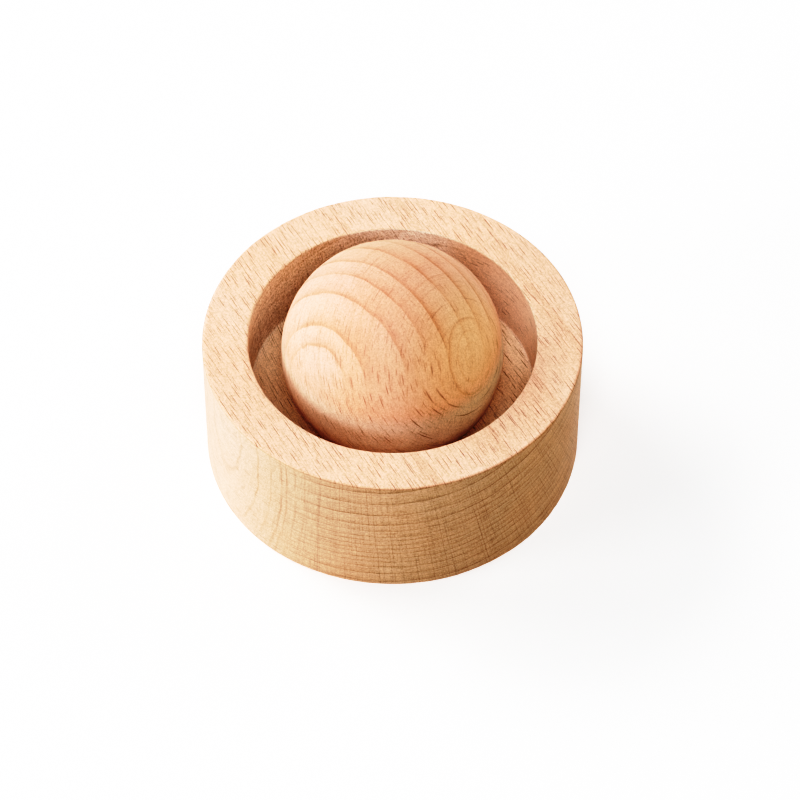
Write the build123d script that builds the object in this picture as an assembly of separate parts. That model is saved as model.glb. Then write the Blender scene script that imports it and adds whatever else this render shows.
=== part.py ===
from build123d import *
import os

# A turned beech ball that rests loose in the dished seat of a round beech cup.
# Millimetres. +Z is up. The origin is the centre of the cup's flat underside.

# ---- driving dimensions ------------------------------------------------------
CUP_DIAMETER = 48.0        # across the outside of the cup
CUP_HEIGHT = 19.9          # table to the flat top of the rim
RECESS_DIAMETER = 36.4     # bore that the ball sits down into
SEAT_RADIUS = 29.5         # radius of the shallow spherical dish at the bottom of the bore
SEAT_FLOOR = 3.25          # wood left under the lowest point of the dish

BALL_DIAMETER = 28.2
BALL_CLEARANCE = 0.05      # air between the ball and the dish where they meet

RIM_OUTER_BREAK = 0.35     # sanded edge between the rim and the outside
RIM_INNER_BREAK = 0.25     # sanded edge between the rim and the bore
FOOT_BREAK = 0.4           # sanded edge round the underside

# ---- sizes that follow from them ---------------------------------------------
CUP_RADIUS = CUP_DIAMETER / 2
RECESS_RADIUS = RECESS_DIAMETER / 2
BALL_RADIUS = BALL_DIAMETER / 2
DISH_CENTRE = SEAT_FLOOR + SEAT_RADIUS
BALL_CENTRE = SEAT_FLOOR + BALL_CLEARANCE + BALL_RADIUS

os.makedirs("parts", exist_ok=True)


def circle_edges(shape, radius, height):
    """The circular edges of a turned solid at one radius and one height."""
    found = []
    for edge in shape.edges().filter_by(GeomType.CIRCLE):
        middle = edge.arc_center
        if abs(edge.radius - radius) < 0.01 and abs(middle.Z - height) < 0.01:
            found.append(edge)
    return found


# ---- base cup: one solid turning, bored from the top, dished at the bottom ----
bottom_aligned = (Align.CENTER, Align.CENTER, Align.MIN)
blank = Cylinder(CUP_RADIUS, CUP_HEIGHT, align=bottom_aligned)
bore = Cylinder(RECESS_RADIUS, CUP_HEIGHT + 5, align=bottom_aligned)
dish = Pos(0, 0, DISH_CENTRE) * Sphere(SEAT_RADIUS)
base_cup = blank - (bore & dish)

base_cup = fillet(circle_edges(base_cup, CUP_RADIUS, CUP_HEIGHT), RIM_OUTER_BREAK)
base_cup = fillet(circle_edges(base_cup, RECESS_RADIUS, CUP_HEIGHT), RIM_INNER_BREAK)
base_cup = fillet(circle_edges(base_cup, CUP_RADIUS, 0.0), FOOT_BREAK)

# ---- ball: loose, it only rests at the bottom of the dish ---------------------
ball = Pos(0, 0, BALL_CENTRE) * Sphere(BALL_RADIUS)

export_step(base_cup, "parts/base_cup.step")
export_step(ball, "parts/ball.step")
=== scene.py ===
import math

import bpy
import numpy as np
from mathutils import Matrix, Vector


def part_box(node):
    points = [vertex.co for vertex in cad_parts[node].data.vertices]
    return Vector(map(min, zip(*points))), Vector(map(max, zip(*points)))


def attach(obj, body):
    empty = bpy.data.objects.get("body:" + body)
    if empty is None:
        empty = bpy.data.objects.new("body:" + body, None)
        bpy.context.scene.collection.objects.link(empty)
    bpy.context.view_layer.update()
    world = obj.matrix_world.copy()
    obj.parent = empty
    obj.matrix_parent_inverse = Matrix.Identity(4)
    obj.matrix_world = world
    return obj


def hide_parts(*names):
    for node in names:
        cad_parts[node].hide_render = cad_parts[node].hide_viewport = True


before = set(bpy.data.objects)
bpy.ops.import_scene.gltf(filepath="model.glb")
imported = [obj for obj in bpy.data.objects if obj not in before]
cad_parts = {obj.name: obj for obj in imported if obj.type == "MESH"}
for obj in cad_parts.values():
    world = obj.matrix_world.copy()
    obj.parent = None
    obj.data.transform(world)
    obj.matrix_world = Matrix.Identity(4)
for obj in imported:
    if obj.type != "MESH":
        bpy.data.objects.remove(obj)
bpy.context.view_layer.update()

scene = bpy.context.scene
MM = 0.001

# ------------------------------------------------------------------ sizes from the frame
cup_lo, cup_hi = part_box("base_cup")
ball_lo, ball_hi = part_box("ball")
CUP_R = (cup_hi.x - cup_lo.x) / 2 / MM
CUP_H = (cup_hi.z - cup_lo.z) / MM
BALL_R = (ball_hi.x - ball_lo.x) / 2 / MM
BALL_C = np.array([(ball_lo.x + ball_hi.x) / 2, (ball_lo.y + ball_hi.y) / 2, (ball_lo.z + ball_hi.z) / 2]) / MM

BORE_R = 18.2          # bore that the ball sits in
SEAT_R = 29.5          # radius of the dish
SEAT_Z = 3.25          # lowest point of the dish
RIM_OUT = 0.30         # sanded edges
RIM_IN = 0.22
FOOT = 0.35
COVE = 0.30            # small cove where the wall meets the dish

# ------------------------------------------------------------------ grain directions
# long: along the tree. ring: across the growth rings. ray: normal of the ray planes.
def unit(v):
    v = np.array(v, float)
    return v / np.linalg.norm(v)

CUP_LONG = unit((math.cos(math.radians(-60)), math.sin(math.radians(-60)), 0))
CUP_RAY = unit((math.cos(math.radians(30)), math.sin(math.radians(30)), 0))
CUP_RING = unit((0, 0, 1))
BALL_RING = unit((-0.689, -0.633, 0.352))
BALL_RAY = unit(np.array((0.708, -0.487, 0.511)) - np.dot((0.708, -0.487, 0.511), BALL_RING) * BALL_RING)
BALL_LONG = np.cross(BALL_RAY, BALL_RING)

# heights of the ring lines along each piece's ring coordinate, mm
CUP_LINES = [-3.6, -2.4, -1.3, -0.4, 0.5, 2.17, 3.5, 4.5, 5.35, 6.35, 7.1, 7.92, 8.85, 9.6, 10.75, 12.0, 13.95, 16.15, 18.4, 20.9]
BALL_LINES = [-14.9, -12.4, -9.7, -7.0, -4.3, -1.5, 1.55, 4.75, 7.0, 9.5, 12.35, 13.35, 15.5]


# ------------------------------------------------------------------ seeded noise on arrays
def hash01(ix, iy, iz, seed):
    h = (ix.astype(np.int64) * 73856093) ^ (iy.astype(np.int64) * 19349663) ^ (iz.astype(np.int64) * 83492791) ^ (seed * 2654435761)
    h &= 0xFFFFFFFF
    h ^= h >> 15
    h = (h * 2246822519) & 0xFFFFFFFF
    h ^= h >> 13
    h = (h * 3266489917) & 0xFFFFFFFF
    h ^= h >> 16
    return h / 4294967295.0


def noise(p, scale, seed):
    """Value noise from 0 to 1 at points p (n x 3), with one cell for each `scale` mm (a number or three)."""
    q = p / np.array(scale, float)
    i = np.floor(q)
    f = q - i
    f = f * f * (3 - 2 * f)
    i = i.astype(np.int64)
    out = np.zeros(len(p))
    for dx in (0, 1):
        for dy in (0, 1):
            for dz in (0, 1):
                w = (f[:, 0] if dx else 1 - f[:, 0]) * (f[:, 1] if dy else 1 - f[:, 1]) * (f[:, 2] if dz else 1 - f[:, 2])
                out += w * hash01(i[:, 0] + dx, i[:, 1] + dy, i[:, 2] + dz, seed)
    return out


def fbm(p, scale, seed, octaves=3):
    total, weight, amount = np.zeros(len(p)), 0.0, 1.0
    for k in range(octaves):
        total += amount * noise(p, np.array(scale, float) / 2 ** k, seed + k * 17)
        weight += amount
        amount *= 0.55
    return total / weight


def smooth(x, a, b):
    t = np.clip((x - a) / (b - a), 0, 1)
    return t * t * (3 - 2 * t)


# ------------------------------------------------------------------ ring coordinate of each piece, for its shape
def cup_ring(p):
    t = p @ CUP_RAY
    x = (t + 9.0) / 5.4
    rise = 1.33 * np.log1p(np.exp(x))
    return p[:, 2] - rise * (0.35 + 0.65 * np.clip(p[:, 2] / 17, 0, 1.2))


def ball_ring(p):
    return p @ BALL_RING + 0.0053 * (p @ BALL_RAY) ** 2 - 0.0034 * (p @ BALL_LONG) ** 2


def latewood(q, lines, outward):
    """0 in the early wood, rising to 1 at the late wood line of each ring."""
    lines = np.array(lines)
    n = np.interp(q, lines, np.arange(len(lines)))
    phase = (n if outward > 0 else -n) % 1.0
    return smooth(phase, 0.45, 0.97) * (1 - smooth(phase, 0.985, 1.0))


def to_frame(p, *axes):
    return np.stack([p @ a for a in axes], 1)


def new_mesh(name, verts, faces, body, node):
    me = bpy.data.meshes.new(name)
    me.from_pydata([tuple(v) for v in (verts * MM)], [], faces)
    me.validate()
    me.polygons.foreach_set("use_smooth", [True] * len(me.polygons))
    me.update()
    ob = bpy.data.objects.new(name, me)
    scene.collection.objects.link(ob)
    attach(ob, body)
    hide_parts(node)
    return ob


# ------------------------------------------------------------------ cup: a turned ring mesh with torn grain in the bore
def arc(cr, cz, radius, a0, a1, steps):
    return [(cr + radius * math.cos(math.radians(a)), cz + radius * math.sin(math.radians(a))) for a in np.linspace(a0, a1, steps + 1)]


def dish_z(r):
    return SEAT_Z + SEAT_R - math.sqrt(SEAT_R ** 2 - r * r)


def cup_profile():
    """(r, z, zone) from the rim of the innermost underside ring, out, up, over the rim, down the bore and in over the dish."""
    out = []

    def add(points, zone):
        for r, z in points:
            if not out or math.hypot(out[-1][0] - r, out[-1][1] - z) > 1e-4:
                out.append((r, z, zone))

    add([(r, 0.0) for r in (12.5, 15, 17.5, 20, 22, 23.2)], "under")
    add(arc(CUP_R - FOOT, FOOT, FOOT, -90, 0, 4), "foot")
    add([(CUP_R, z) for z in np.linspace(FOOT, CUP_H - RIM_OUT, 44)], "side")
    add(arc(CUP_R - RIM_OUT, CUP_H - RIM_OUT, RIM_OUT, 0, 90, 5), "rim_out")
    add([(r, CUP_H) for r in np.linspace(CUP_R - RIM_OUT, BORE_R + RIM_IN, 14)], "top")
    add(arc(BORE_R + RIM_IN, CUP_H - RIM_IN, RIM_IN, 90, 180, 4), "rim_in")
    corner = dish_z(BORE_R)
    add([(BORE_R, z) for z in np.linspace(CUP_H - RIM_IN, corner + COVE * 1.3, 40)], "wall")
    add([(BORE_R - 0.06, corner + COVE * 0.5), (BORE_R - 0.22, corner + COVE * 0.1), (BORE_R - 0.5, dish_z(BORE_R - 0.5))], "cove")
    add([(r, dish_z(r)) for r in np.linspace(BORE_R - 1.0, 12.5, 9)], "dish")
    return out


def build_cup():
    n = 720
    profile = cup_profile()
    rings, verts, faces = [], [], []
    zones = []

    def ring(r, z, count, zone):
        start = len(verts)
        for j in range(count):
            a = 2 * math.pi * j / count
            verts.append((r * math.cos(a), r * math.sin(a), z))
            zones.append(zone)
        return (start, count)

    def join(a, b):
        (s, c), (t, d) = a, b
        if c == d:
            for j in range(c):
                k = (j + 1) % c
                faces.append((s + j, s + k, t + k, t + j))
        elif c == 2 * d:
            for j in range(d):
                k = (j + 1) % d
                faces.append((s + 2 * j, s + 2 * j + 1, t + j))
                faces.append((s + 2 * j + 1, t + k, t + j))
                faces.append((s + 2 * j + 1, s + (2 * j + 2) % c, t + k))
        else:
            for j in range(c):
                k = (j + 1) % c
                faces.append((s + j, t + 2 * j + 1, t + 2 * j))
                faces.append((s + j, s + k, t + 2 * j + 1))
                faces.append((s + k, t + (2 * j + 2) % d, t + 2 * j + 1))

    # underside centre, out to the first full ring
    inner = [(0.35, 15), (1.0, 45), (2.2, 90), (4.4, 180), (7.6, 360)]
    centre = len(verts)
    verts.append((0, 0, 0))
    zones.append("under")
    chain = []
    count = 45
    first = ring(0.9, 0.0, 45, "under")
    for j in range(45):
        faces.append((centre, first[0] + (j + 1) % 45, first[0] + j))
    last = first
    for r, c in ((2.4, 90), (5.2, 180), (8.6, 360)):
        nxt = ring(r, 0.0, c, "under")
        join_up = (last, nxt)
        s, cc = last
        t, d = nxt
        for j in range(cc):
            k = (j + 1) % cc
            faces.append((s + j, t + 2 * j + 1, t + 2 * j))
            faces.append((s + j, s + k, t + 2 * j + 1))
            faces.append((s + k, t + (2 * j + 2) % d, t + 2 * j + 1))
        last = nxt
    started = False
    for r, z, zone in profile:
        nxt = ring(r, z, n, zone)
        join(last, nxt)
        last = nxt
    for r, c in ((9.8, 360), (7.6, 360), (5.2, 180), (3.4, 180), (1.9, 90), (0.9, 45)):
        nxt = ring(r, dish_z(r), c, "dish")
        join(last, nxt)
        last = nxt
    tip = len(verts)
    verts.append((0, 0, SEAT_Z))
    zones.append("dish")
    s, c = last
    for j in range(c):
        faces.append((s + j, s + (j + 1) % c, tip))

    p = np.array(verts, float)
    zones = np.array(zones)
    r = np.hypot(p[:, 0], p[:, 1])
    safe = np.maximum(r, 1e-6)
    out = np.stack([p[:, 0] / safe, p[:, 1] / safe, np.zeros(len(p))], 1)
    g = to_frame(p, CUP_LONG, CUP_RAY, CUP_RING)
    end = np.abs(out @ CUP_LONG)                      # 1 where the turned wall cuts across the grain
    q = cup_ring(p)
    late = latewood(q, CUP_LINES, -1)
    move = np.zeros(len(p))                           # along `out`, mm
    rise = np.zeros(len(p))                           # along Z, mm

    side = np.isin(zones, ("side", "foot", "rim_out"))
    fuzz = fbm(g, (0.9, 0.55, 0.35), 11)
    move[side] -= (0.004 + 0.030 * (1 - late[side]) * smooth(end[side], 0.25, 0.9) + 0.030 * fuzz[side] * (0.35 + 0.65 * end[side]))
    edge = np.isin(zones, ("rim_out", "foot"))
    move[edge] -= 0.05 * noise(p[edge], (0.8, 0.8, 5.0), 31) * end[edge]

    # bore: the tool tears the fibres where it cuts across the grain, most of all on the far wall
    wall = np.isin(zones, ("wall", "rim_in"))
    tear = smooth(end, 0.30, 0.85)
    tear *= np.where(out @ CUP_LONG < 0, 1.0, 0.65)
    pits = fbm(to_frame(p, CUP_LONG, CUP_RAY * 1.0, CUP_RING) + 3.1, (0.9, 0.24, 0.34), 47, 2)
    chatter = 0.5 + 0.5 * np.sin(q * 7.5 + 5 * noise(p, 3.0, 53))
    deep = smooth(pits, 0.36, 0.82) * 0.060 + 0.02 * chatter
    top_fade = np.where(zones == "wall", 1.0, 0.8)
    move[wall] += (0.004 + tear[wall] * deep[wall] * top_fade[wall] + 0.014 * fuzz[wall])
    near_corner = 1 - smooth(p[:, 2], dish_z(BORE_R) + 0.2, dish_z(BORE_R) + 1.2)
    move[wall] *= 1 - 0.8 * near_corner[wall]

    top = zones == "top"
    lip = np.clip(1 - (r - (BORE_R + RIM_IN)) / 0.5, 0, 1)
    move[top] += (lip * tear * deep * 0.55)[top]
    rise[top] -= 0.002 + 0.012 * fbm(g[top], (3.0, 0.5, 0.5), 61) + 0.006 * late[top]
    rise[zones == "rim_in"] -= 0.03 * fuzz[zones == "rim_in"]
    dish = zones == "dish"
    rise[dish] -= 0.010 * (0.5 + 0.5 * np.sin(r[dish] * 2 * math.pi / 0.8)) + 0.02 * fuzz[dish]
    rise[dish] *= smooth(r[dish], 0.5, 3.0)

    p = p + out * move[:, None]
    p[:, 2] += rise
    return new_mesh("beech_cup", p, faces, "cup", "base_cup")


# ------------------------------------------------------------------ ball: six even patches, no poles
def build_ball():
    n = 126
    t = np.tan(np.linspace(-1, 1, n + 1) * math.pi / 4)
    u, v = np.meshgrid(t, t, indexing="ij")
    one = np.ones_like(u)
    sides = [(one, u, v), (-one, v, u), (v, one, u), (u, -one, v), (u, v, one), (v, u, -one)]
    points, quads, base = [], [], 0
    for sx, sy, sz in sides:
        points.append(np.stack([sx.ravel(), sy.ravel(), sz.ravel()], 1))
        i, j = np.meshgrid(np.arange(n), np.arange(n), indexing="ij")
        k = base + i * (n + 1) + j
        quads.append(np.stack([k.ravel(), (k + n + 1).ravel(), (k + n + 2).ravel(), (k + 1).ravel()], 1))
        base += (n + 1) ** 2
    p = np.concatenate(points)
    quads = np.concatenate(quads)
    p /= np.linalg.norm(p, axis=1)[:, None]
    key, first, inverse = np.unique(np.round(p, 6), axis=0, return_index=True, return_inverse=True)
    inverse = np.asarray(inverse).ravel()
    p = p[first]
    quads = inverse[quads]
    # make every face look outward
    a, b, c = p[quads[:, 0]], p[quads[:, 1]], p[quads[:, 2]]
    flip = (np.cross(b - a, c - a) * a).sum(1) < 0
    quads[flip] = quads[flip][:, ::-1]
    rough = p * BALL_R
    q = ball_ring(rough)
    late = latewood(q, BALL_LINES, 1)
    g = to_frame(rough, BALL_LONG, BALL_RAY, BALL_RING)
    end = np.abs(p @ BALL_LONG)
    dip = 0.004 + 0.022 * (1 - late) * (0.5 + 0.5 * end) + 0.020 * fbm(g, (1.8, 0.5, 0.6), 71) + 0.05 * noise(rough, 9.0, 83)
    p = p * (BALL_R - dip)[:, None] + BALL_C
    return new_mesh("beech_ball", p, [tuple(int(x) for x in f) for f in quads], "ball", "ball")


cup = build_cup()
ball = build_ball()


# ------------------------------------------------------------------ node helpers
class Tree:
    def __init__(self, name):
        self.mat = bpy.data.materials.new(name)
        self.mat.use_nodes = True
        self.nt = self.mat.node_tree
        self.shader = self.nt.nodes["Principled BSDF"]

    def put(self, socket, value):
        if isinstance(value, bpy.types.NodeSocket):
            self.nt.links.new(value, socket)
        else:
            socket.default_value = value

    def math(self, op, a, b=None, c=None, clamp=False):
        n = self.nt.nodes.new("ShaderNodeMath")
        n.operation = op
        n.use_clamp = clamp
        for s, v in zip(n.inputs, (a, b, c)):
            if v is not None:
                self.put(s, v)
        return n.outputs[0]

    def vec(self, op, a, b=None, scale=None):
        n = self.nt.nodes.new("ShaderNodeVectorMath")
        n.operation = op
        self.put(n.inputs[0], a)
        if b is not None:
            self.put(n.inputs[1], b)
        if scale is not None:
            self.put(n.inputs["Scale"], scale)
        return n.outputs["Value"] if op in ("DOT_PRODUCT", "LENGTH") else n.outputs["Vector"]

    def combine(self, x, y, z):
        n = self.nt.nodes.new("ShaderNodeCombineXYZ")
        for s, v in zip(n.inputs, (x, y, z)):
            self.put(s, v)
        return n.outputs[0]

    def separate(self, v):
        n = self.nt.nodes.new("ShaderNodeSeparateXYZ")
        self.put(n.inputs[0], v)
        return n.outputs

    def noise(self, vector, scale=1.0, detail=2.0, rough=0.5, distortion=0.0):
        n = self.nt.nodes.new("ShaderNodeTexNoise")
        n.noise_dimensions = "3D"
        self.put(n.inputs["Vector"], vector)
        n.inputs["Scale"].default_value = scale
        n.inputs["Detail"].default_value = detail
        n.inputs["Roughness"].default_value = rough
        n.inputs["Distortion"].default_value = distortion
        return n.outputs["Fac"]

    def range(self, value, a, b, c=0.0, d=1.0, kind="SMOOTHSTEP"):
        n = self.nt.nodes.new("ShaderNodeMapRange")
        n.interpolation_type = kind
        n.clamp = True
        self.put(n.inputs["Value"], value)
        for s, v in zip((n.inputs["From Min"], n.inputs["From Max"], n.inputs["To Min"], n.inputs["To Max"]), (a, b, c, d)):
            self.put(s, v)
        return n.outputs["Result"]

    def ramp(self, value, stops):
        n = self.nt.nodes.new("ShaderNodeValToRGB")
        r = n.color_ramp
        r.interpolation = "LINEAR"
        while len(r.elements) < len(stops):
            r.elements.new(0.5)
        for e, (pos, v) in zip(r.elements, stops):
            e.position = pos
            e.color = (v, v, v, 1) if isinstance(v, (int, float)) else (*v, 1)
        self.put(n.inputs[0], value)
        return n.outputs[0]

    def curve(self, value, points):
        n = self.nt.nodes.new("ShaderNodeFloatCurve")
        c = n.mapping.curves[0]
        c.points[0].location = points[0]
        c.points[1].location = points[-1]
        for x, y in points[1:-1]:
            c.points.new(x, y)
        for pt in c.points:
            pt.handle_type = "VECTOR"
        n.mapping.use_clip = False
        n.mapping.update()
        self.put(n.inputs["Value"], value)
        return n.outputs[0]

    def mix(self, fac, a, b, blend="MIX"):
        n = self.nt.nodes.new("ShaderNodeMix")
        n.data_type = "RGBA"
        n.blend_type = blend
        n.clamp_factor = True
        fi = [s for s in n.inputs if s.type == "VALUE"][0]
        ca, cb = [s for s in n.inputs if s.type == "RGBA"][:2]
        self.put(fi, fac)
        for s, v in ((ca, a), (cb, b)):
            self.put(s, (*v, 1) if isinstance(v, (tuple, list)) and len(v) == 3 else v)
        return [s for s in n.outputs if s.type == "RGBA"][0]


def flecks(t, long, ray, ring, cell, size, seed, spread=0.5, hard=0.45):
    """Ray flecks: thin spindles, one to a cell. cell and size (half lengths) are mm along the grain, across it and
    along the ray; with two numbers each the ray runs right through the piece."""
    flat = len(cell) == 2
    axes = [t.math("MULTIPLY_ADD", long, 1 / cell[0], seed * 3.17), t.math("MULTIPLY_ADD", ray, 1 / cell[1], seed * 1.73)]
    axes.append(0.0 if flat else t.math("MULTIPLY_ADD", ring, 1 / cell[2], seed * 2.39))
    co = t.combine(*axes)
    v = t.nt.nodes.new("ShaderNodeTexVoronoi")
    v.voronoi_dimensions = "2D" if flat else "3D"
    v.feature = "F1"
    v.inputs["Scale"].default_value = 1.0
    v.inputs["Randomness"].default_value = 1.0
    t.put(v.inputs["Vector"], co)
    d = t.vec("SUBTRACT", co, v.outputs["Position"])
    d = t.vec("MULTIPLY", d, (cell[0] / size[0], cell[1] / size[1], 0.0 if flat else cell[2] / size[2]))
    luck = t.separate(v.outputs["Color"])
    reach = t.math("MULTIPLY_ADD", luck[0], spread, 1.0 - spread)
    d = t.separate(d)
    longways = t.math("DIVIDE", d[0], reach)
    squares = t.math("ADD", t.math("MULTIPLY", longways, longways), t.math("MULTIPLY", d[1], d[1]))
    if not flat:
        squares = t.math("ADD", squares, t.math("MULTIPLY", d[2], d[2]))
    shape = t.range(t.math("SQRT", squares), hard, 1.1, 1.0, 0.0)
    strength = t.math("MULTIPLY_ADD", luck[1], 0.55, 0.45)
    return t.math("MULTIPLY", shape, strength)


def times(t, colour, factor, amount):
    """colour, darkened by factor (r, g, b) as far as amount says."""
    return t.mix(1.0, colour, t.mix(amount, (1.0, 1.0, 1.0), factor), "MULTIPLY")


def beech(name, kind):
    t = Tree(name)
    co = t.nt.nodes.new("ShaderNodeTexCoord").outputs["Object"]
    if kind == "ball":
        co = t.vec("SUBTRACT", co, tuple(BALL_C * MM))
        axes = (BALL_LONG, BALL_RAY, BALL_RING)
    else:
        axes = (CUP_LONG, CUP_RAY, CUP_RING)
    p = t.vec("SCALE", co, scale=1000.0)                       # millimetres
    normal = t.nt.nodes.new("ShaderNodeNewGeometry").outputs["Normal"]
    la, ra, ga = (t.vec("DOT_PRODUCT", p, tuple(float(x) for x in a)) for a in axes)
    nl, nr, ng = (t.math("ABSOLUTE", t.vec("DOT_PRODUCT", normal, tuple(float(x) for x in a))) for a in axes)

    def grain_noise(along, ray_scale, ring_scale, seed, detail=2.0, rough=0.5, r=None, g=None):
        r, g = (ra if r is None else r), (ga if g is None else g)
        v = t.combine(t.math("MULTIPLY_ADD", la, along, seed * 7.3), t.math("MULTIPLY_ADD", r, ray_scale, seed * 3.1),
                      t.math("MULTIPLY_ADD", g, ring_scale, seed * 5.7))
        return t.noise(v, 1.0, detail, rough)

    # the grain wanders slowly, much more slowly along the tree than across it
    w1 = t.math("SUBTRACT", grain_noise(0.05, 0.16, 0.16, 1), 0.5)
    w2 = t.math("SUBTRACT", grain_noise(0.10, 0.90, 0.90, 2), 0.5)
    w3 = t.math("SUBTRACT", grain_noise(0.09, 0.35, 0.05, 3), 0.5)

    if kind == "cup":
        x = t.math("DIVIDE", t.math("ADD", ra, 9.0), 5.4)
        soft = t.math("MULTIPLY", t.math("LOGARITHM", t.math("ADD", t.math("EXPONENT", x), 1.0), math.e), 1.33)
        depth = t.math("MULTIPLY_ADD", t.math("DIVIDE", ga, 17.0), 0.65, 0.35)
        depth = t.math("MINIMUM", t.math("MAXIMUM", depth, 0.35), 1.13)
        q = t.math("SUBTRACT", ga, t.math("MULTIPLY", soft, depth))
        q = t.math("ADD", q, t.math("MULTIPLY", w2, 0.22))
        q = t.math("ADD", q, t.math("MULTIPLY", w1, 0.60))
        # the rays fan out below the cup, away from the heart of the tree
        ray = t.math("MULTIPLY", t.math("ADD", ra, 17.0), t.math("DIVIDE", 75.0, t.math("SUBTRACT", 85.0, ga)))
        ray = t.math("ADD", ray, t.math("MULTIPLY", w3, 0.35))
        lines, sign, span = CUP_LINES, -1, (-5.0, 22.0)
    else:
        q = t.math("ADD", ga, t.math("MULTIPLY", t.math("MULTIPLY", ra, ra), 0.0053))
        q = t.math("SUBTRACT", q, t.math("MULTIPLY", t.math("MULTIPLY", la, la), 0.0034))
        q = t.math("ADD", q, t.math("MULTIPLY", w2, 0.18))
        q = t.math("ADD", q, t.math("MULTIPLY", w1, 0.70))
        ray = t.math("ADD", ra, t.math("MULTIPLY", w3, 0.55))
        lines, sign, span = BALL_LINES, 1, (-16.0, 16.0)

    # growth rings: phase 0 just after a line, 1 at the next one
    count = len(lines) - 1
    points = [(min(max((v - span[0]) / (span[1] - span[0]), 0.0), 1.0), i / count) for i, v in enumerate(lines)]
    number = t.math("MULTIPLY", t.curve(t.range(q, span[0], span[1], kind="LINEAR"), points), float(sign * count))
    phase = t.math("FRACT", number)
    if kind == "ball":
        late = t.ramp(phase, [(0.0, 0.25), (0.04, 0.0), (0.35, 0.08), (0.65, 0.28), (0.86, 0.52), (0.945, 1.0), (1.0, 0.95)])
    else:
        late = t.ramp(phase, [(0.0, 0.15), (0.04, 0.0), (0.50, 0.06), (0.78, 0.22), (0.90, 0.45), (0.96, 1.0), (1.0, 0.95)])
    vary = t.range(grain_noise(0.06, 0.16, 0.55, 4), 0.32, 0.62, 0.55, 1.0)
    late = t.math("MULTIPLY", late, vary)

    v = dict(p=p, la=la, ra=ra, ga=ga, nl=nl, nr=nr, ng=ng, q=q, ray=ray, late=late, normal=normal)
    v["fibre"] = grain_noise(0.50, 4.6, 4.6, 5, 3.0, 0.66, ray, q)
    v["vessel"] = grain_noise(0.85, 8.5, 9.5, 6, 2.0, 0.65, ray, q)
    v["band"] = grain_noise(0.25, 0.40 if kind == "cup" else 0.80, 5.0, 7, 3.0, 0.62, ray, q)          # fine layers parallel to the rings
    v["thin_rays"] = grain_noise(0.50, 5.0, 0.22, 8, 3.0, 0.60, ray, q)    # the countless small rays
    v["sheet"] = grain_noise(0.07, 1.9 if kind == "ball" else 1.3, 0.07, 9, 3.0, 0.6, ray, ga)        # layers parallel to the rays
    v["blotch"] = grain_noise(0.06, 0.16, 0.16, 10, 2.0, 0.5)
    v["fade"] = grain_noise(0.12, 0.45, 0.30, 11, 2.0, 0.5)
    v["grit"] = t.noise(t.vec("MULTIPLY", p, (5.2, 5.2, 5.2)), 1.0, 1.0, 0.6)
    v["lines"] = flecks(t, la, q, ray, (2.6, 0.62, 2.2), (1.25, 0.062, 0.9), 12, 0.5, 0.30)
    if kind == "cup":
        v["big"] = flecks(t, la, ray, q, (3.3, 0.70), (2.10, 0.066), 1, 0.55, 0.30)
        v["mid"] = flecks(t, la, ray, q, (2.6, 0.52, 7.0), (1.35, 0.058, 3.4), 2, 0.5, 0.30)
        v["fine"] = flecks(t, la, ray, q, (1.5, 0.40, 4.0), (0.60, 0.040, 1.6), 3, 0.5, 0.30)
        # where the side runs along the rays, a few layers stand up as bowed lines
        drop = t.math("SUBTRACT", 17.0, ga)
        layer = t.math("ADD", t.math("ABSOLUTE", ra), t.math("MULTIPLY", t.math("MULTIPLY", drop, drop), -0.0036))
        layer = t.math("ADD", layer, t.math("MULTIPLY", t.math("SUBTRACT", grain_noise(0.10, 0.10, 0.22, 15), 0.5), 0.30))
        layer = t.range(layer, 24.2, 19.5, kind="LINEAR")
        stops = [(0.0, 0.0)]
        for at, wide, deep in ((0.096, 0.010, 0.6), (0.255, 0.012, 0.9), (0.404, 0.016, 0.7), (0.543, 0.018, 1.0), (0.617, 0.018, 1.0), (0.745, 0.018, 0.6), (0.894, 0.020, 0.5)):
            stops += [(at - wide, 0.0), (at, deep), (at + wide, 0.0)]
        v["arcs"] = t.math("MULTIPLY", t.ramp(layer, stops + [(1.0, 0.0)]), t.range(grain_noise(0.05, 0.2, 0.16, 16), 0.35, 0.60, 0.35, 1.0))
        v["arcs"] = t.math("MULTIPLY", v["arcs"], t.range(ga, 1.0, 9.0, 0.45, 1.0))
        v["hair"] = flecks(t, la, ray, q, (3.0, 0.80, 16.0), (2.60, 0.046, 13.0), 13, 0.4, 0.25)
    else:
        v["big"] = flecks(t, la, ray, q, (3.0, 0.92), (1.35, 0.072), 4, 0.60, 0.30)
        v["mid"] = flecks(t, la, ray, q, (2.4, 0.52, 7.0), (1.10, 0.060, 3.4), 5, 0.5, 0.30)
        v["fine"] = flecks(t, la, ray, q, (1.5, 0.42, 4.0), (0.60, 0.045, 1.6), 6, 0.5, 0.30)
        # where the surface lies along the rays, layers of the wood close into ovals
        wide, tall = t.math("DIVIDE", ga, 3.8), t.math("DIVIDE", la, 4.75)
        oval = t.math("SQRT", t.math("ADD", t.math("MULTIPLY", wide, wide), t.math("MULTIPLY", tall, tall)))
        oval = t.math("ADD", oval, t.math("MULTIPLY", t.math("SUBTRACT", grain_noise(0.22, 0.2, 0.22, 14), 0.5), 0.20))
        rim = t.ramp(t.math("DIVIDE", oval, 1.5), [(0.0, 0.5), (0.06, 0.1), (0.20, 0.05), (0.235, 0.6), (0.255, 0.0), (0.41, 0.05), (0.445, 0.75),
                                                   (0.468, 0.0), (0.60, 0.10), (0.645, 0.5), (0.668, 1.0), (0.69, 0.0), (1.0, 0.0)])
        v["oval"] = t.math("MULTIPLY", t.math("MULTIPLY", rim, t.range(ra, 9.0, 11.5)), t.range(ga, -4.2, 3.8, 0.30, 1.0))
    return t, v


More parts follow.
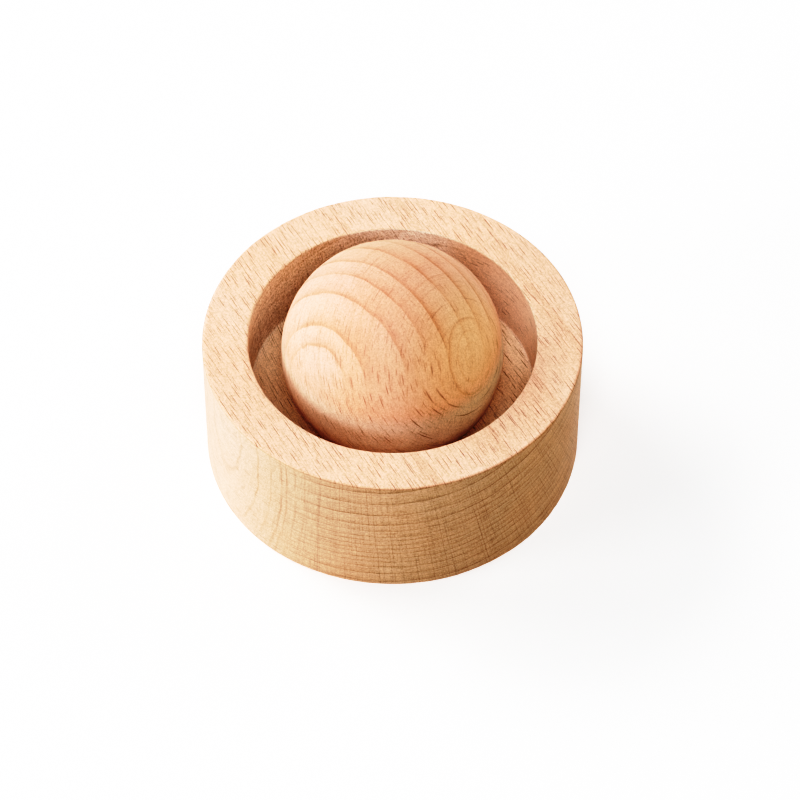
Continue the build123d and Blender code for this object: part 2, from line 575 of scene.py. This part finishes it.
# effective base colours: planed long grain, and the darker cut across the grain
CUP_FACE, CUP_END = (0.945, 0.528, 0.380), (0.420, 0.261, 0.151)
# the pale bore colour is painted light: it brightens the front left of the bore wall, standing in for fill light in the
# crevice beside the ball
CUP_BORE, CUP_BORE_PAINTED_LIGHT, CUP_DISH = (0.855, 0.618, 0.478), (0.990, 0.785, 0.625), (0.850, 0.590, 0.420)
# the low ball colour is painted light: a paler, greyer colour for the part of the ball that the rim shades
BALL_FACE, BALL_LOW_PAINTED_LIGHT = (0.875, 0.438, 0.300), (0.775, 0.515, 0.392)


def finish_beech(t, v, kind):
    flat = t.range(v["ng"], 0.10, 0.60)                        # the face shows the rays end on
    end = t.range(v["nl"], 0.30, 0.90)                         # the face cuts across the grain
    if kind == "cup":
        outside = t.range(t.vec("LENGTH", t.vec("MULTIPLY", v["p"], (1.0, 1.0, 0.0))), 20.0, 20.2)
        upright = t.range(t.math("ABSOLUTE", t.vec("DOT_PRODUCT", v["normal"], (0.0, 0.0, 1.0))), 0.75, 0.55)
        side = t.math("MULTIPLY", outside, upright)
        inside = t.math("SUBTRACT", 1.0, t.range(t.vec("LENGTH", t.vec("MULTIPLY", v["p"], (1.0, 1.0, 0.0))), 18.25, 18.42))
        # painted light: the bore wall turns paler towards the front left
        across = t.vec("DOT_PRODUCT", v["p"], (-0.8, -0.6, 0.0))
        bore_wall = t.mix(t.range(across, 2.0, 16.0), CUP_BORE, CUP_BORE_PAINTED_LIGHT)
        # painted light: the far wall of the bore is made paler and less warm towards the back
        bore_wall = times(t, bore_wall, (1.0, 1.05, 1.16), t.range(t.separate(v["p"])[1], 15.5, 18.0))
        # painted shade: the bore wall is made darker at the right back, and a little at the left back
        bore_wall = times(t, bore_wall, (0.965, 0.92, 0.92), t.math("MULTIPLY", t.range(t.separate(v["p"])[0], 4.0, 11.0), t.range(t.separate(v["p"])[1], 3.0, 9.0)))
        bore_wall = times(t, bore_wall, (0.99, 0.965, 0.94), t.math("MULTIPLY", t.range(t.separate(v["p"])[0], -5.0, -10.0), t.range(t.separate(v["p"])[1], 8.0, 12.0)))
        # painted light: the dish turns paler towards the front, standing in for fill light in the crevice under the
        # ball
        hollow = t.mix(upright, t.mix(t.range(t.separate(v["p"])[1], -5.0, -10.0), CUP_DISH, (0.97, 0.77, 0.61)), bore_wall)
        colour = t.mix(side, t.mix(inside, CUP_FACE, hollow), t.mix(t.range(v["nl"], 0.1, 1.0, kind="LINEAR"), (0.655, 0.402, 0.280), CUP_END))
        # painted shade: the outer side is made darker and warmer towards the right, away from the light
        colour = times(t, colour, (0.965, 0.905, 0.80), t.math("MULTIPLY", side, t.range(t.separate(v["p"])[0], 8.0, 21.0)))
        ring_c = (0.58, 0.52, 0.46)
        ring_amount = t.math("MULTIPLY", v["late"], t.math("MULTIPLY_ADD", flat, -0.70, 1.0))
        ring_amount = t.math("MULTIPLY", ring_amount, t.range(v["nr"], 0.95, 0.75, 0.12, 1.0))
        ring_amount = t.math("MULTIPLY", ring_amount, t.math("MULTIPLY_ADD", inside, -0.45, 1.0))
    else:
        inside = None
        # painted light: below its middle the ball turns to the paler, greyer low colour, standing in for fill light in
        # the rim's shadow
        colour = t.mix(t.range(t.separate(v["p"])[2], 4.2, 1.2), BALL_FACE, BALL_LOW_PAINTED_LIGHT)
        # painted shade: the ball is made darker and yellower towards its right, away from the light, and less red
        # everywhere but the lit upper left
        colour = times(t, colour, (0.985, 0.95, 0.95), t.range(v["ra"], -4.0, 10.0))
        colour = times(t, colour, (0.94, 0.99, 0.84), t.range(v["ra"], 8.5, 14.0))
        colour = times(t, colour, (0.945, 1.05, 0.98), t.range(v["ga"], 11.0, -2.0))
        # painted shade: the front of the ball is made darker a little above its middle, facing the near rim
        colour = times(t, colour, (0.93, 0.945, 0.94), t.math("MULTIPLY", t.range(v["la"], -5.0, 2.5), t.range(t.separate(v["p"])[2], 2.0, 5.5)))
        # painted shade: the top of the ball is made a little darker
        colour = times(t, colour, (0.955, 0.93, 0.955), t.range(v["la"], -8.0, -12.5))
        # painted shade: the ball's left side, where the light turns away into the rim's shadow, is made less red; the
        # same mask also strengthens the small flecks there
        low_left = t.math("MULTIPLY", t.range(t.separate(v["p"])[0], -5.0, -9.5), t.math("MULTIPLY", t.range(t.separate(v["p"])[2], 1.5, 4.0), t.range(t.separate(v["p"])[2], 12.0, 8.0)))
        colour = times(t, colour, (0.90, 0.96, 1.02), low_left)
        # painted highlight: the upper ball is made a little bluer, so its lit top reads pinker
        colour = times(t, colour, (1.0, 0.99, 1.035), t.range(t.separate(v["p"])[2], 9.5, 13.0))
        # painted shade: the ball is made darker below its middle, except on the right
        colour = times(t, colour, (0.90, 0.90, 0.89), t.math("MULTIPLY", t.range(t.separate(v["p"])[0], 7.0, 4.0), t.range(t.separate(v["p"])[2], 1.8, -0.5)))
        # painted light: the lower right of the ball is made brighter and paler
        colour = times(t, colour, (1.13, 1.12, 1.20), t.math("MULTIPLY", t.range(t.separate(v["p"])[0], 3.0, 11.0), t.range(t.separate(v["p"])[2], 6.5, 2.5)))
        ring_c = (0.68, 0.585, 0.51)
        ring_amount = t.math("MULTIPLY", v["late"], t.range(t.math("ADD", v["la"], t.math("MULTIPLY", v["ra"], 0.20)), -4.0, 4.0, 1.0, 0.14))
        ring_amount = t.math("MULTIPLY", ring_amount, t.range(t.separate(v["p"])[2], 4.0, 9.5, 0.50, 1.0))
    colour = t.mix(1.0, colour, t.mix(t.range(v["blotch"], 0.30, 0.70, kind="LINEAR"), (1.015, 0.985, 0.97), (0.985, 1.015, 1.03)), "MULTIPLY")
    colour = times(t, colour, ring_c, ring_amount)
    colour = t.mix(1.0, colour, t.mix(t.range(v["fibre"], 0.28, 0.72, kind="LINEAR"), (0.90, 0.89, 0.88), (1.11, 1.11, 1.11)), "MULTIPLY")
    woven = 1.0 if kind == "cup" else 0.45
    # layers along the rings, and thin rays across them: the woven look of the end grain
    colour = times(t, colour, (0.80, 0.77, 0.73), t.math("MULTIPLY", t.range(v["band"], 0.52, 0.38), t.math("MULTIPLY_ADD", end, 0.75 * woven, 0.15 * woven)))
    colour = times(t, colour, (0.80, 0.775, 0.745), t.math("MULTIPLY", t.range(v["thin_rays"], 0.50, 0.34), t.math("MULTIPLY_ADD", end, -0.02 * woven, 0.34 * woven)))
    colour = times(t, colour, (0.88, 0.86, 0.83), t.math("MULTIPLY", t.range(v["sheet"], 0.50, 0.30), 0.80 if kind == "ball" else 0.15))
    # pores
    pore = t.math("MULTIPLY", t.range(v["vessel"], 0.44, 0.28), t.math("MULTIPLY_ADD", end, 0.55, 0.40))
    colour = times(t, colour, (0.66, 0.63, 0.60), pore)
    # rays
    fade = t.range(v["fade"], 0.32, 0.60, 0.55, 1.0)
    if kind == "cup":
        show = t.math("MULTIPLY", t.math("MULTIPLY_ADD", flat, 0.78, 0.27), fade)
        dark, soft = (0.14, 0.12, 0.11), (0.38, 0.345, 0.32)
    else:
        show = t.math("MULTIPLY", t.range(v["la"], -9.0, -1.0, 0.28, 1.0), t.math("MULTIPLY_ADD", fade, 0.6, 0.4))
        dark, soft = (0.34, 0.29, 0.265), (0.54, 0.49, 0.45)
    # where the face lies along the rays they turn into broad pale ribbons
    grazing = t.range(v["nr"], 0.985, 0.86)
    show = t.math("MULTIPLY", show, t.math("MULTIPLY_ADD", grazing, 0.9, 0.1))
    strong = t.math("MULTIPLY", v["big"], show)
    middle = t.math("MULTIPLY", v["mid"], t.math("MULTIPLY_ADD", flat, 0.65, 0.25))
    weak = t.math("MULTIPLY", v["fine"], t.math("MULTIPLY_ADD", flat, 0.6, 0.4))
    if kind == "ball":
        weak = t.math("ADD", weak, t.math("MULTIPLY", v["fine"], t.math("MULTIPLY", low_left, 0.7)))
        middle = t.math("ADD", middle, t.math("MULTIPLY", v["mid"], t.math("MULTIPLY", low_left, 0.35)))
    colour = times(t, colour, soft, t.math("MULTIPLY", weak, 0.7))
    colour = times(t, colour, soft, middle)
    along = t.math("MULTIPLY", v["lines"], t.range(v["nr"], 0.45, 0.90))
    colour = times(t, colour, soft, along)
    if kind == "cup":
        colour = times(t, colour, dark, t.math("MULTIPLY", along, t.math("MULTIPLY", inside, 0.45)))
        # painted shade: the outer rim edge is darkened all round, hiding the highlight it catches from the left light
        edge = t.math("MULTIPLY", t.range(t.vec("LENGTH", t.vec("MULTIPLY", v["p"], (1.0, 1.0, 0.0))), 23.66, 23.80), t.range(t.separate(v["p"])[2], CUP_H - 0.36, CUP_H - 0.24))
        colour = times(t, colour, (0.90, 0.86, 0.82), edge)
    colour = times(t, colour, dark, strong)
    if kind == "cup":
        colour = times(t, colour, (0.70, 0.62, 0.56), t.math("MULTIPLY", v["arcs"], side))
        colour = times(t, colour, (0.55, 0.51, 0.48), t.math("MULTIPLY", v["hair"], t.math("MULTIPLY", t.math("MULTIPLY_ADD", flat, -0.85, 0.95), t.range(v["nr"], 0.92, 0.70))))
    else:
        colour = times(t, colour, (0.78, 0.72, 0.67), v["oval"])
    grit = 0.20 if kind == "cup" else 0.17
    colour = t.mix(1.0, colour, t.mix(t.range(v["grit"], 0.30, 0.70, kind="LINEAR"), (1 - grit,) * 3, (1 + grit,) * 3), "MULTIPLY")
    if inside is not None:
        torn = t.noise(t.combine(t.math("MULTIPLY", v["la"], 1.2), t.math("MULTIPLY", v["ray"], 4.4), t.math("MULTIPLY", v["ga"], 3.0)), 1.0, 3.0, 0.65)
        bore = t.math("MULTIPLY", inside, t.math("MULTIPLY", upright, end))
        colour = times(t, colour, (0.66, 0.61, 0.57), t.math("MULTIPLY", t.range(torn, 0.56, 0.36), bore))
    t.put(t.shader.inputs["Base Color"], colour)
    # roughness: bare sanded wood, a little smoother along the grain
    rough = t.math("MULTIPLY_ADD", end, 0.10, 0.55)
    rough = t.math("ADD", rough, t.math("MULTIPLY", t.math("SUBTRACT", v["fibre"], 0.5), 0.18))
    rough = t.math("ADD", rough, t.math("MULTIPLY", strong, 0.10))
    t.put(t.shader.inputs["Roughness"], rough)
    t.shader.inputs["Specular IOR Level"].default_value = 0.28
    # relief: pores and rays sit slightly low
    height = t.math("MULTIPLY", v["fibre"], 0.35)
    height = t.math("ADD", height, t.math("MULTIPLY", v["vessel"], 0.50))
    height = t.math("SUBTRACT", height, t.math("MULTIPLY", strong, 0.8))
    bump = t.nt.nodes.new("ShaderNodeBump")
    bump.inputs["Strength"].default_value = 0.40
    bump.inputs["Distance"].default_value = 0.00007
    t.put(bump.inputs["Height"], height)
    t.put(t.shader.inputs["Normal"], bump.outputs["Normal"])
    return t.mat


for ob, kind in ((cup, "cup"), (ball, "ball")):
    tree, values = beech(f"beech_{kind}", kind)
    ob.data.materials.append(finish_beech(tree, values, kind))


# ------------------------------------------------------------------ floor
bpy.ops.mesh.primitive_plane_add(size=6, location=(0, 0, 0))
floor = bpy.context.object
floor.name = "floor"
fm = bpy.data.materials.new("floor_paper")
fm.use_nodes = True
fs = fm.node_tree.nodes["Principled BSDF"]
fs.inputs["Base Color"].default_value = (0.95, 0.95, 0.95, 1)
fs.inputs["Roughness"].default_value = 0.9
fs.inputs["Specular IOR Level"].default_value = 0.1
fs.inputs["Emission Color"].default_value = (1, 1, 1, 1)
fs.inputs["Emission Strength"].default_value = 0.30
floor.data.materials.append(fm)

# ------------------------------------------------------------------ light
world = bpy.data.worlds.new("studio")
scene.world = world
world.use_nodes = True
world.node_tree.nodes["Background"].inputs[0].default_value = (1, 1, 1, 1)
world.node_tree.nodes["Background"].inputs[1].default_value = 0.0


def softbox(name, azimuth, elevation, watts, size):
    a, e = math.radians(azimuth), math.radians(elevation)
    d = Vector((math.cos(a) * math.cos(e), math.sin(a) * math.cos(e), math.sin(e)))
    data = bpy.data.lights.new(name, "AREA")
    data.shape = "DISK"
    data.size = size
    data.energy = watts
    lamp = bpy.data.objects.new(name, data)
    scene.collection.objects.link(lamp)
    lamp.location = d * 1.0
    lamp.rotation_mode = "QUATERNION"
    lamp.rotation_quaternion = d.to_track_quat("Z", "Y")
    return lamp


# azimuth, elevation, watts: a bright window on the left, the pale room round it, and weak light from the right
for number, (azimuth, elevation, watts) in enumerate((
        (200, 12, 8.82), (140, 32, 6.47), (270, 55, 6.12), (160, 32, 3.37), (40, 32, 2.29), (20, 32, 1.79), (120, 12, 1.01),
        (100, 12, 0.76), (0, 55, 0.70), (150, 55, 0.60))):
    softbox(f"softbox_{number}", azimuth, elevation, watts, 0.45)

# ------------------------------------------------------------------ camera
ELEVATION, DISTANCE, FOCAL_PX, TARGET, ROLL = 51.315, 493.56, 3845.5, (0.966, 0.0, 7.427), 0.235
el, roll = math.radians(ELEVATION), math.radians(ROLL)
back = Vector((0, -math.cos(el), math.sin(el)))
right, up = Vector((1, 0, 0)), Vector((1, 0, 0)).cross(-back)
cam_x = math.cos(roll) * right + math.sin(roll) * up
cam_y = -math.sin(roll) * right + math.cos(roll) * up
camera_data = bpy.data.cameras.new("camera")
camera = bpy.data.objects.new("camera", camera_data)
scene.collection.objects.link(camera)
m = Matrix((cam_x, cam_y, back)).transposed().to_4x4()
m.translation = (Vector(TARGET) + back * DISTANCE) * MM
camera.matrix_world = m
camera_data.sensor_width = 36
camera_data.lens = FOCAL_PX / 800 * 36
camera_data.clip_start = 0.01
scene.camera = camera

# film: a high-key print, with soft highlights and deep warm shadows. Scene light on the left, shown light on the right.
FILM = ((0.0, 0.0), (0.05, 0.004), (0.091, 0.012), (0.108, 0.02), (0.151, 0.05), (0.201, 0.10), (0.28, 0.20), (0.354, 0.30),
        (0.429, 0.40), (0.50, 0.50), (0.581, 0.60), (0.69, 0.70), (0.855, 0.80), (0.972, 0.85), (1.12, 0.90), (1.274, 0.94),
        (1.422, 0.97), (1.594, 0.99), (2.0, 1.0))
view = scene.view_settings
view.view_transform = "Standard"
view.look = "None"
view.use_curve_mapping = True
film = view.curve_mapping
film.white_level = (2.0, 2.0, 2.0)
film.use_clip = True
line = film.curves[3]
line.points[0].location = (0.0, 0.0)
line.points[1].location = (1.0, 1.0)
for x, y in FILM[1:-1]:
    line.points.new(x / 2.0, y)
for point in line.points:
    point.handle_type = "AUTO_CLAMPED"
film.update()
